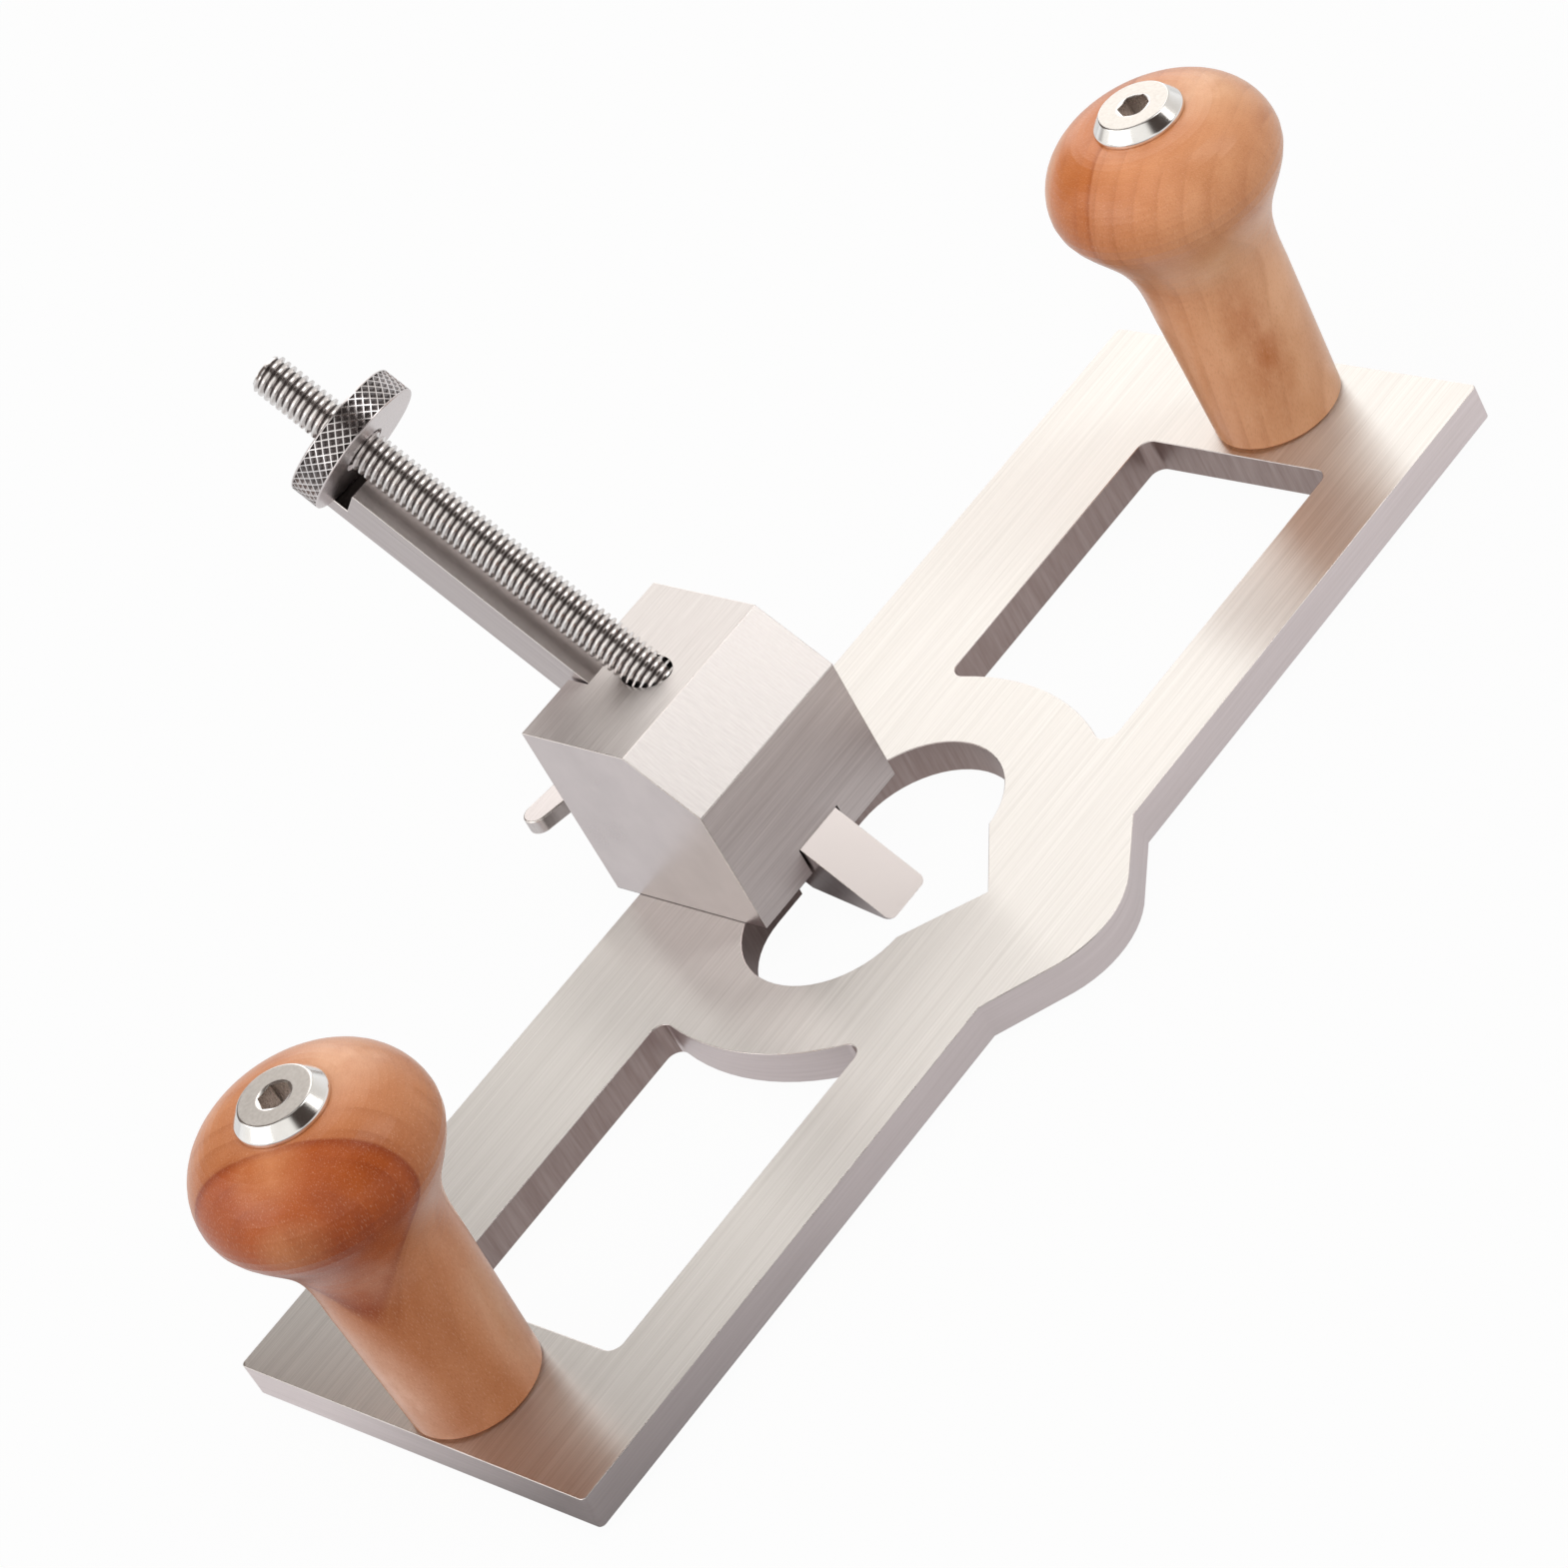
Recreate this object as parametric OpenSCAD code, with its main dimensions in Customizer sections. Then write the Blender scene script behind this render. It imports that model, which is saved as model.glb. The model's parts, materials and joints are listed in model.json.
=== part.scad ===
// Hand router plane: a flat open sole, two turned wooden knobs, a block that
// carries the cutter at a slant, and a knurled nut that sets the cutting depth.
// Millimetres. The sole is z = 0, the plane's front is -Y, +X runs to the right knob.
// The origin lies on the sole, in the middle of the rail behind the mouth.

/* [Base plate] */
// Length of the base plate
base_length = 200; // [170:1:240]
// Width of the base plate, without the nose
base_width = 65; // [60:0.5:80]
// Thickness of the base plate
base_thickness = 5.4; // [4.5:0.1:8]
// Radius of the plate's four corners
base_corner_r = 0.8; // [0.4:0.1:4]
// How far the nose stands out in front
nose_reach = 8.6; // [6:0.1:11]
// Half the width of the nose where it leaves the front edge
nose_half_width = 17.4; // [15:0.1:22]
// Radius of the nose's tip
nose_radius = 15.2; // [10:0.1:16]

/* [Windows and mouth] */
// Plate left between each end and its window
window_end_bar = 19.8; // [19:0.1:24]
// Plate left between the back edge and the windows
window_back_rail = 19.8; // [17:0.1:22]
// Plate left between the front edge and the windows
window_front_rail = 12; // [9:0.1:15]
// Radius of the windows' corners
window_corner_r = 1.9; // [1:0.1:4]
// Radius of the round land about the mouth
ring_radius = 34.2; // [30:0.1:40]
// Distance of the round land's centre from the back edge
ring_setback = 30.9; // [28:0.1:34]
// Plate left between the back edge and the mouth
mouth_back_rail = 19.4; // [17:0.1:21]
// Mouth size, front to back
mouth_depth = 25.5; // [22:0.1:28]
// Mouth size, side to side, over its round ends
mouth_length = 44.7; // [38:0.1:50]
// Half the width of the sight notch in front of the mouth
notch_half_width = 10.4; // [7:0.1:12]
// Depth of the sight notch
notch_depth = 8; // [5:0.1:9]

/* [Blade holder] */
// Width of the block that holds the blade
holder_width = 29.2; // [26:0.1:36]
// Depth of the block, front to back
holder_depth = 28.9; // [27:0.1:32]
// Height of the block
holder_height = 29.6; // [28:0.1:34]
// How far the block stands out behind the base plate
holder_overhang = 4.4; // [2:0.1:6]
// Front chamfer, measured along the block's top
holder_chamfer_run = 9.4; // [4:0.1:12]
// Front chamfer, measured down the block's front
holder_chamfer_drop = 8.9; // [4:0.1:12]
// Room between the blade and its slot, on each side
slot_clearance = 0.25; // [0.15:0.05:0.5]

/* [Holder screws] */
// Distance between the two screws under the block
holder_screw_spacing = 19; // [17:0.5:20]
// Distance of these screws from the plate's back edge
holder_screw_setback = 9.5; // [7:0.1:12]
// Thread diameter of these screws
holder_screw_d = 5; // [4:0.5:5]
// Head diameter of these screws
holder_screw_head_d = 9; // [8:0.1:9.4]
// How far these screws reach into the block
holder_screw_reach = 10; // [6:0.5:14]
// Across-flats size of their sockets
holder_socket_af = 3; // [2:0.5:3.5]
// Depth of their sockets
holder_socket_depth = 1.8; // [1:0.1:2.4]
// How far the heads lie below the sole
holder_screw_sink = 0.2; // [0.1:0.05:0.5]

/* [Depth stud and nut] */
// Lean of the stud and the blade from the sole, in degrees
stud_angle = 45; // [43:0.5:48]
// Thread diameter of the stud
stud_d = 6; // [5:0.5:6]
// Thread pitch of the stud
stud_pitch = 1; // [0.8:0.1:1.5]
// Thread depth of the stud
stud_thread_depth = 0.6; // [0.3:0.05:0.7]
// Length of the stud above the block
stud_reach = 64.5; // [60:0.5:75]
// Length of the stud inside the block
stud_embed = 16; // [10:0.5:17]
// Distance of the stud from the block's back, on its top face
stud_setback = 11.4; // [11:0.1:13]
// Diameter of the knurled nut
nut_d = 19.8; // [17:0.1:20.4]
// Thickness of the knurled nut
nut_thickness = 4.4; // [3:0.1:6]
// Height of the nut above the block, along the stud
nut_height = 47.5; // [40:0.5:50]
// Chamfer on the nut's rims
nut_chamfer = 0.35; // [0.2:0.05:0.8]

/* [Blade] */
// Width of the blade bar
blade_width = 8; // [6:0.1:10]
// Thickness of the blade bar
blade_thickness = 7.2; // [6.6:0.1:7.6]
// Room between the stud's thread and the blade bar
blade_stud_gap = 2.7; // [2:0.1:3]
// How far the cutting edge stands below the sole
blade_projection = 1.2; // [0:0.1:3]
// Angle between the blade's ground bevel and the sole
blade_relief = 13; // [8:0.5:20]
// Radius of the two corners at the cutting edge
blade_corner_r = 1.2; // [0.4:0.1:2]
// Room below the nut in the blade's notch
nut_room_below = 1.95; // [0.3:0.05:3]
// Room above the nut in the blade's notch
nut_room_above = 0.15; // [0.1:0.05:0.4]
// Room between the nut's rim and the notch's floor
nut_room_floor = 0.4; // [0.3:0.05:0.8]
// Thickness of the lip at the blade's upper end
blade_lip = 1.6; // [1:0.1:4]

/* [Wing screw] */
// Height of the wing screw above the base plate
wing_height = 11.3; // [10:0.1:12]
// Thread diameter of the wing screw
wing_screw_d = 6; // [4:0.5:6]
// Gap between the screw's round tip and the blade
wing_tip_gap = 0.3; // [0.2:0.05:0.6]
// Gap between the screw's hub and the block
wing_hub_gap = 1.3; // [0.5:0.1:3]
// Diameter of the hub
wing_hub_d = 9.2; // [8:0.1:11]
// Length of the hub
wing_hub_length = 6.8; // [5:0.1:8]
// Span of the wings, tip to tip
wing_span = 33; // [28:0.5:34]
// Thickness of the wings
wing_thickness = 2.4; // [1.6:0.1:3.2]
// Radius of the wings' round tips
wing_tip_r = 2; // [1.2:0.1:2.6]
// How far the tips' centres lie behind the hub's front
wing_sweep = 7; // [6:0.1:9]
// Width of the wings where they leave the hub
wing_root = 5.8; // [4:0.1:6.4]

/* [Knobs] */
// Distance of each knob's axis from the end of the base plate
knob_inset = 9.5; // [9.5:0.1:10.2]
// Distance of the knobs' axes from the plate's back edge
knob_setback = 36.8; // [28:0.1:42]
// Height of the wooden knobs
knob_height = 51.4; // [46:0.1:60]
// Radius of a knob at its foot
knob_foot_r = 9.3; // [8:0.1:9.4]
// Radius of a knob's neck
knob_neck_r = 9.9; // [8:0.1:11]
// Height at which the neck starts to flare
knob_neck_z = 22; // [16:0.1:26]
// Largest radius of a knob's head
knob_head_r = 16.5; // [14:0.1:20]
// Height of the largest radius
knob_head_z = 42.4; // [38:0.1:44]
// Radius of the flat seat at a knob's top
knob_seat_r = 6.9; // [6.6:0.1:9]
// How late the neck's flare opens out
knob_flare = 1.7; // [1:0.05:2.4]
// Chamfer about a knob's foot
knob_foot_chamfer = 0.5; // [0.2:0.1:1.5]
// Room about the bolt in a knob's bore
knob_bore_clearance = 0.25; // [0.1:0.05:0.5]

/* [Knob bolts] */
// Thread diameter of the knob bolts
bolt_d = 6; // [5:0.5:6]
// Diameter of a bolt's head
bolt_head_d = 12.8; // [11:0.1:13]
// Height of a bolt's head
bolt_head_h = 2.3; // [1.6:0.1:3.5]
// Diameter of the flat on a bolt's head
bolt_flat_d = 10; // [8:0.1:10.6]
// Height of the straight rim under a bolt's bevel
bolt_rim_h = 0.6; // [0.3:0.1:1.2]
// Across-flats size of a bolt's socket
bolt_socket_af = 4; // [3:0.5:5]
// Depth of a bolt's socket
bolt_socket_depth = 3; // [2:0.1:4]
// Diameter of the countersink about a bolt's socket
bolt_socket_rim_d = 5; // [4.8:0.1:6.4]
// How far a bolt's end lies above the sole
bolt_end_recess = 0.3; // [0.1:0.1:1]

/* [Fits] */
// Room about a screw or stud in its threaded hole
thread_clearance = 0.05; // [0.02:0.01:0.1]

/* [Hidden] */
$fn = 64;
// Overshoot of a cut past the face that it opens
cut = 1;
// Depth by which a flank runs into the round that it meets
blend = 0.02;
// How far past the mouth's edge the sight notch's flanks run back
notch_run = 1.25;
// Facets of one curved stretch of a knob's outline
curve_steps = 14;
half_length = base_length / 2;
base_back = window_back_rail / 2;
base_front = base_back - base_width;
window_back = base_back - window_back_rail;
window_front = base_front + window_front_rail;
window_outer = half_length - window_end_bar;
ring_y = base_back - ring_setback;
mouth_r = mouth_depth / 2;
mouth_back = base_back - mouth_back_rail;
mouth_y = mouth_back - mouth_r;
mouth_front = mouth_back - mouth_depth;
mouth_end_x = mouth_length / 2 - mouth_r;
holder_back = base_back + holder_overhang;
holder_front = holder_back - holder_depth;
holder_top = base_thickness + holder_height;
holder_screw_y = base_back - holder_screw_setback;
stud_r = stud_d / 2;
stud_y = holder_back - stud_setback;
nut_r = nut_d / 2;
// Distances from the stud's axis, measured square to it, towards the blade
blade_face = stud_r + blade_stud_gap;
blade_back = blade_face + blade_thickness;
notch_floor = nut_r + nut_room_floor;
// Distances along the stud's axis from the block's top
blade_edge = blade_face / tan(stud_angle) - (holder_top + blade_projection) / sin(stud_angle);
blade_heel = blade_edge + blade_thickness / tan(stud_angle - blade_relief);
notch_low = nut_height - nut_room_below;
notch_high = nut_height + nut_thickness + nut_room_above;
blade_end = notch_high + blade_lip;
// Where the back of the blade's slot meets the plate's upper face
slot_back_y = stud_y
  + (blade_back + slot_clearance - holder_height * cos(stud_angle)) / sin(stud_angle);
wing_z = base_thickness + wing_height;
wing_r = wing_screw_d / 2;
wing_ball_y = stud_y + (blade_back + wing_r + wing_tip_gap
  + (wing_z - holder_top) * cos(stud_angle)) / sin(stud_angle);
wing_hub_y = holder_back + wing_hub_gap;
knob_x = half_length - knob_inset;
knob_y = base_back - knob_setback;
bolt_r = bolt_d / 2;

// Point where the tangent from p runs into the circle about c, on the side given
function tangent(c, r, p, side) =
  let (v = p - c, q = r - blend, a = atan2(v[1], v[0]) + side * acos(q / norm(v)))
  c + q * [cos(a), sin(a)];

// Rectangle from a to b with its four corners rounded
module rounded_box(a, b, r) {
  translate(a + [r, 0]) square(b - a - [2 * r, 0]);
  translate(a + [0, r]) square(b - a - [0, 2 * r]);
  for (x = [a[0] + r, b[0] - r], y = [a[1] + r, b[1] - r])
    translate([x, y]) circle(r);
}

// Frame with Z along the stud and Y square to it, towards the blade
module on_stud() {
  translate([0, stud_y, holder_top]) rotate([stud_angle - 90, 0, 0]) children();
}

// Outline in (towards the blade, along the stud), made w wide about the middle
module across(w) {
  rotate([90, 0, 90]) translate([0, 0, -w / 2]) linear_extrude(w) children();
}

// Turned about an axis along +Y, from y
module along_y(y, z) {
  translate([0, y, z]) rotate([-90, 0, 0]) children();
}

// Straight space that the blade slides in
module blade_slot() {
  depth = blade_thickness + 2 * slot_clearance;
  on_stud() across(blade_width + 2 * slot_clearance)
    translate([blade_face - slot_clearance, -stud_reach]) square([depth, 2 * stud_reach]);
}

// Rounded plan of the nose
module nose_plan() {
  c = [0, base_front - nose_reach + nose_radius];
  left = tangent(c, nose_radius, [-nose_half_width, base_front], 1);
  right = tangent(c, nose_radius, [nose_half_width, base_front], -1);
  polygon([
    [-nose_half_width, base_front], left, right, [nose_half_width, base_front],
    [nose_half_width, base_front + cut], [-nose_half_width, base_front + cut]
  ]);
  translate(c) circle(nose_radius);
}

// Filled corner where the round land runs into a window's straight edge
module window_inner_corner(edge_y, side) {
  r = window_corner_r;
  h = edge_y - side * r - ring_y;
  c = [sqrt(pow(ring_radius + r, 2) - h * h), edge_y - side * r];
  in_ring = [0, ring_y] + (c - [0, ring_y]) * (ring_radius - r) / (ring_radius + r);
  past_edge = edge_y + side * r;
  tip_x = sqrt(max(0, pow(ring_radius, 2) - pow(edge_y - ring_y, 2)));
  past_tip = min(in_ring[0], tip_x - r);
  difference() {
    polygon([[past_tip, past_edge], [c[0], past_edge], c, in_ring]);
    translate(c) circle(r + blend);
  }
}

// Plan of the right window
module window_plan() {
  difference() {
    rounded_box([0, window_front], [window_outer, window_back], window_corner_r);
    translate([0, ring_y]) circle(ring_radius, $fn = 128);
    window_inner_corner(window_back, 1);
    window_inner_corner(window_front, -1);
  }
}

// Plan of the mouth with its sight notch and the blade's relief
module mouth_plan() {
  relief = blade_width / 2 + slot_clearance;
  for (s = [-1, 1]) translate([s * mouth_end_x, mouth_y]) circle(mouth_r);
  translate([-mouth_end_x, mouth_front]) square([2 * mouth_end_x, mouth_depth]);
  notch_x = notch_run * notch_half_width;
  notch_y = mouth_front + (notch_run - 1) * notch_depth;
  polygon([[-notch_x, notch_y], [0, mouth_front - notch_depth], [notch_x, notch_y]]);
  translate([-relief, mouth_y]) square([2 * relief, max(slot_back_y, mouth_back) - mouth_y]);
}

// Head and shank of a countersunk screw, or its seat when grown by room
module countersunk(room, reach) {
  head_r = holder_screw_head_d / 2 + room;
  shank_r = holder_screw_d / 2 + room;
  rotate_extrude() polygon([
    [0, 0], [head_r, 0], [shank_r, head_r - shank_r], [shank_r, reach], [0, reach]
  ]);
}

module base_plate() color("silver") difference() {
  linear_extrude(base_thickness) difference() {
    union() {
      rounded_box([-half_length, base_front], [half_length, base_back], base_corner_r);
      nose_plan();
    }
    window_plan();
    mirror([1, 0]) window_plan();
    mouth_plan();
    for (s = [-1, 1]) translate([s * knob_x, knob_y]) circle(bolt_r + thread_clearance);
  }
  for (s = [-1, 1]) translate([s * holder_screw_spacing / 2, holder_screw_y, 0]) {
    translate([0, 0, holder_screw_sink])
      countersunk(thread_clearance, base_thickness + cut);
    translate([0, 0, -cut])
      cylinder(r = holder_screw_head_d / 2 + thread_clearance, h = cut + holder_screw_sink);
  }
}

module blade_holder() color("lightgray") difference() {
  across(holder_width) polygon([
    [holder_front, base_thickness],
    [holder_front, holder_top - holder_chamfer_drop],
    [holder_front + holder_chamfer_run, holder_top],
    [holder_back, holder_top],
    [holder_back, base_thickness]
  ]);
  blade_slot();
  on_stud() translate([0, 0, -stud_embed])
    cylinder(r = stud_r + thread_clearance, h = stud_embed + stud_d);
  along_y(slot_back_y - base_thickness, wing_z)
    cylinder(r = wing_r + thread_clearance, h = holder_back - slot_back_y + base_thickness + cut);
  for (s = [-1, 1]) translate([s * holder_screw_spacing / 2, holder_screw_y, base_thickness - cut])
    cylinder(r = holder_screw_d / 2 + thread_clearance, h = holder_screw_reach + cut);
}

// Countersunk screw that draws the block down onto the plate
module holder_screw(side) color("gray")
  translate([side * holder_screw_spacing / 2, holder_screw_y, holder_screw_sink]) difference() {
    countersunk(0, base_thickness + holder_screw_reach - holder_screw_sink);
    translate([0, 0, -cut]) cylinder(
      d = holder_socket_af / cos(30), h = holder_socket_depth + cut, $fn = 6);
  }

module holder_screw_left() { holder_screw(-1); }

module holder_screw_right() { holder_screw(1); }

// Fixed stud: plain in the block, threaded above it
module depth_stud() color("gainsboro") {
  root_r = stud_r - stud_thread_depth;
  turns = floor(stud_reach / stud_pitch) - 1;
  on_stud() rotate_extrude() polygon(concat(
    [[0, -stud_embed], [stud_r, -stud_embed], [stud_r, 0]],
    [for (i = [0:turns - 1], k = [0, 1])
      [k == 0 ? root_r : stud_r, (i + (k + 1) / 2) * stud_pitch]],
    [[root_r, stud_reach], [0, stud_reach]]
  ));
}

module depth_nut() color("lightgray") on_stud() translate([0, 0, nut_height]) difference() {
  rotate_extrude() polygon([
    [0, 0], [nut_r - nut_chamfer, 0], [nut_r, nut_chamfer],
    [nut_r, nut_thickness - nut_chamfer], [nut_r - nut_chamfer, nut_thickness],
    [0, nut_thickness]
  ]);
  translate([0, 0, -cut]) cylinder(r = stud_r + thread_clearance, h = nut_thickness + 2 * cut);
}

module blade() color("lightsteelblue") on_stud() difference() {
  intersection() {
    across(blade_width) polygon([
      [blade_face, blade_edge], [blade_face, blade_end],
      [blade_back, blade_end], [blade_back, blade_heel]
    ]);
    translate([0, blade_back + cut, 0]) rotate([90, 0, 0])
      linear_extrude(blade_thickness + 2 * cut)
        union() {
          rounded_box(
            [-blade_width / 2, blade_edge], [blade_width / 2, blade_end], blade_corner_r);
          translate([-blade_width / 2, 0]) square([blade_width, blade_end]);
        }
  }
  across(blade_width + 2 * cut) translate([blade_face - cut, notch_low])
    square([notch_floor - blade_face + cut, notch_high - notch_low]);
}

// One wing, seen from above, with its hub at the origin and the block towards -Y
module wing_plan() {
  c = [wing_span / 2 - wing_tip_r, wing_sweep];
  front = [0, (wing_hub_length - wing_root) / 2];
  back = front + [0, wing_root];
  translate(c) circle(wing_tip_r);
  polygon([front, tangent(c, wing_tip_r, front, 1), tangent(c, wing_tip_r, back, -1), back]);
}

module wing_screw() color("darkgray") {
  along_y(wing_ball_y, wing_z) {
    cylinder(r = wing_r, h = wing_hub_y - wing_ball_y + wing_hub_length / 2);
    sphere(wing_r);
  }
  along_y(wing_hub_y, wing_z) cylinder(d = wing_hub_d, h = wing_hub_length);
  translate([0, wing_hub_y, wing_z - wing_thickness / 2]) linear_extrude(wing_thickness) {
    wing_plan();
    mirror([1, 0]) wing_plan();
  }
}

// Outline of a knob from its foot to its seat
function knob_outline() = concat(
  [[knob_foot_r - knob_foot_chamfer, 0], [knob_foot_r, knob_foot_chamfer]],
  [for (i = [0:curve_steps])
    let (s = i / curve_steps, f = (1 - cos(180 * pow(s, knob_flare))) / 2)
    [knob_neck_r + (knob_head_r - knob_neck_r) * f,
     knob_neck_z + (knob_head_z - knob_neck_z) * s]],
  [for (i = [1:curve_steps])
    let (a = 90 * i / curve_steps)
    [knob_seat_r + (knob_head_r - knob_seat_r) * cos(a),
     knob_head_z + (knob_height - knob_head_z) * sin(a)]]
);

// Turned wooden knob standing on the plate
module knob(side) color("peru") translate([side * knob_x, knob_y, base_thickness]) difference() {
  rotate_extrude() polygon(concat([[0, 0]], knob_outline(), [[0, knob_height]]));
  translate([0, 0, -cut])
    cylinder(r = bolt_r + knob_bore_clearance, h = knob_height + 2 * cut);
}

module knob_left() { knob(-1); }

module knob_right() { knob(1); }

// Flat-headed bolt that holds a knob down onto the plate
module knob_bolt(side) color("lightgray")
  translate([side * knob_x, knob_y, base_thickness + knob_height]) difference() {
    head_r = bolt_head_d / 2;
    rim_r = bolt_socket_rim_d / 2;
    socket_r = bolt_socket_af / 2 / cos(30);
    end_z = bolt_end_recess - base_thickness - knob_height;
    rotate_extrude() polygon([
      [0, end_z], [bolt_r, end_z], [bolt_r, 0], [head_r, 0], [head_r, bolt_rim_h],
      [bolt_flat_d / 2, bolt_head_h], [0, bolt_head_h]
    ]);
    translate([0, 0, bolt_head_h - bolt_socket_depth])
      cylinder(r = socket_r, h = bolt_socket_depth + cut, $fn = 6);
    translate([0, 0, bolt_head_h]) rotate_extrude() polygon([
      [0, -rim_r], [rim_r, 0], [rim_r, cut], [0, cut]
    ]);
  }

module knob_bolt_left() { knob_bolt(-1); }

module knob_bolt_right() { knob_bolt(1); }

base_plate();
blade_holder();
holder_screw_left();
holder_screw_right();
depth_stud();
depth_nut();
blade();
wing_screw();
knob_left();
knob_right();
knob_bolt_left();
knob_bolt_right();
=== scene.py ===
"""Looks of a hand router plane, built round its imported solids. Metres, in the solids' own frame."""

import json
import math

import bmesh
import bpy
from mathutils import Matrix, Vector


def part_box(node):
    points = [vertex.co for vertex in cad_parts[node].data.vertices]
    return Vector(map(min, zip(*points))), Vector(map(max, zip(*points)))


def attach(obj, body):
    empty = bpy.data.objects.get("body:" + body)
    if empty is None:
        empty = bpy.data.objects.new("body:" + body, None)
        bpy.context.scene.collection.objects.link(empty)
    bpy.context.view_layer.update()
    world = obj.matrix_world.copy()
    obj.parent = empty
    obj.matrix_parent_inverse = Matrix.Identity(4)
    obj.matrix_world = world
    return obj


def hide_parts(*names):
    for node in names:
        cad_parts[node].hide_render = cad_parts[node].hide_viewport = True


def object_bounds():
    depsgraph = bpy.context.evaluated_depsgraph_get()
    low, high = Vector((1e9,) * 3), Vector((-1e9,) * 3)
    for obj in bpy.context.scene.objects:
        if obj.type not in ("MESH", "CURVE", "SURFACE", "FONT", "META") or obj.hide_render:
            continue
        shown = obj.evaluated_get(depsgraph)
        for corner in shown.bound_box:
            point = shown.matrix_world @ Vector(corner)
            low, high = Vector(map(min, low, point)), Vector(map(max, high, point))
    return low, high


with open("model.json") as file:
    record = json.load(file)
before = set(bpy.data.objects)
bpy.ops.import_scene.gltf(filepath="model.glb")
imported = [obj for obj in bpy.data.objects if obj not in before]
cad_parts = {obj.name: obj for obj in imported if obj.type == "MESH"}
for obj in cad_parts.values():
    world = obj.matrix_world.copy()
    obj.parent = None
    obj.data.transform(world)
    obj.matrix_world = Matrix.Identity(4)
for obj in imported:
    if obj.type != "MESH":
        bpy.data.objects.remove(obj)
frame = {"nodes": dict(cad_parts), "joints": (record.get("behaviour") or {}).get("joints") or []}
cad_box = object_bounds()

MM = 0.001

# Camera of the photograph: place, axes and lens
CAMERA_PLACE = Vector((-0.295311, -0.506882, 0.437802))
CAMERA_RIGHT = Vector((0.585990, -0.698880, -0.410101))
CAMERA_UP = Vector((0.696368, 0.175539, 0.695886))
CAMERA_LENS = 124.868
CAMERA_SENSOR = 36

# Broken edges: their widths and steps, and which edges are broken or drawn crisp
EDGE_BREAK = 0.13 * MM
BLADE_BREAK = 0.15 * MM
WING_BREAK = 0.25 * MM
BREAK_STEPS = 3
BREAK_ABOVE = math.radians(28)
CRISP_ABOVE = math.radians(50)
THREAD_CRISP_ABOVE = math.radians(30)
BOLT_CRISP_ABOVE = math.radians(32)
SAME_POINT = 0.03 * MM
SMALL_HOLE = 12 * MM
LONG_EDGE = 2 * MM
SHORT_EDGE = 1 * MM

# Stud: thread and the chamfer at its end
THREAD_PITCH = 1.0 * MM
THREAD_DEPTH = 0.6 * MM
THREAD_STEPS = 36
STUD_CHAMFER = 0.7 * MM
STUD_END_INSET = 0.1 * MM

# Nut: diamonds round it and across it, their ridges and pits, its rims and its bore
KNURL_AROUND = 43
KNURL_ROWS = 6
KNURL_DEPTH = 0.34 * MM
KNURL_RIDGE = 0.84
KNURL_PIT = 0.30
NUT_RIM = 0.1 * MM
NUT_BORE_GAP = 0.05 * MM
NUT_BORE_CHAMFER = 0.5 * MM

# Knob bolts: head, shank and hexagon socket
BOLT_STEPS = 96
BOLT_HEAD_HEIGHT = 2.3 * MM
BOLT_RIM_HEIGHT = 0.6 * MM
BOLT_FLAT = 5.0 * MM
BOLT_SHANK = 3.0 * MM
BOLT_EDGE = 0.12 * MM
BOLT_UNDER_EDGE = 0.1 * MM
BOLT_SOCKET_ACROSS = 4.0 * MM
BOLT_SOCKET_RIM = 2.42 * MM
BOLT_SOCKET_SLOPE = 0.4
BOLT_SOCKET_DEPTH = 3.0 * MM

# Plate: its ring round the mouth, and how near to an edge counts as on it
RING_CENTRE_FROM_BACK = 30.9 * MM
RING_RADIUS = 34.2 * MM
NEAR_RING = 0.3 * MM
NEAR_EDGE = 0.4 * MM
NEAR_END = 3 * MM

# Blade: its notch, which is painted dark as shade, counted from the nut along the blade and from the
# blade's face into it
NOTCH_BELOW_NUT = 2.2 * MM
NOTCH_ABOVE_NUT = 0.4 * MM
NOTCH_FROM = 0.2 * MM
NOTCH_TO = 5 * MM

# Wood: growth rings, rings from the knob to the pith, and where the stem passes into the head, over which
# the paler painted light on the stem fades out
GROWTH_RING = 34 * MM
THIN_RING = 3.1 * MM
RINGS_TO_PITH = 4
STEM_TOP = 30 * MM
HEAD_BOTTOM = 41 * MM

# Studio walls that metal shows, and the fill on matt surfaces
STUDIO_DARK = (0.15, 0.12, 0.105)
STUDIO_FRONT = (0.06, 0.046, 0.04)
STUDIO_ABOVE = (0.46, 0.44, 0.42)
STUDIO_LEFT = (1.0, 0.98, 0.945)
STUDIO_RIGHT = (0.78, 0.75, 0.715)
WHITE = (1, 1, 1)
BLACK = (0, 0, 0)
FILL_TINT = (1.0, 0.985, 0.97)
FILL_LEVEL = 0.42

# Floor, and what metal shows of it: painted shade, darker to the front left and paler to the right, and a
# painted shadow under the block
FLOOR_SIZE = 6.0
FLOOR_GAP = 0.1 * MM
FLOOR_TONE = 0.55
FLOOR_SEEN_WHITE = 0.96
FLOOR_MIRRORED_WHITE = 0.60
FLOOR_PAINTED_FALLOFF_FROM = -105 * MM
FLOOR_PAINTED_FALLOFF_TO = 100 * MM
FLOOR_PAINTED_FALLOFF_AHEAD = -45 * MM
FLOOR_PAINTED_SHADOW_AT = (-8 * MM, -13 * MM, 0)
FLOOR_PAINTED_SHADOW_REACH = (22 * MM, 13 * MM, 1)
FLOOR_PAINTED_SHADOW_TONE = (0.15, 0.13, 0.13)

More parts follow.
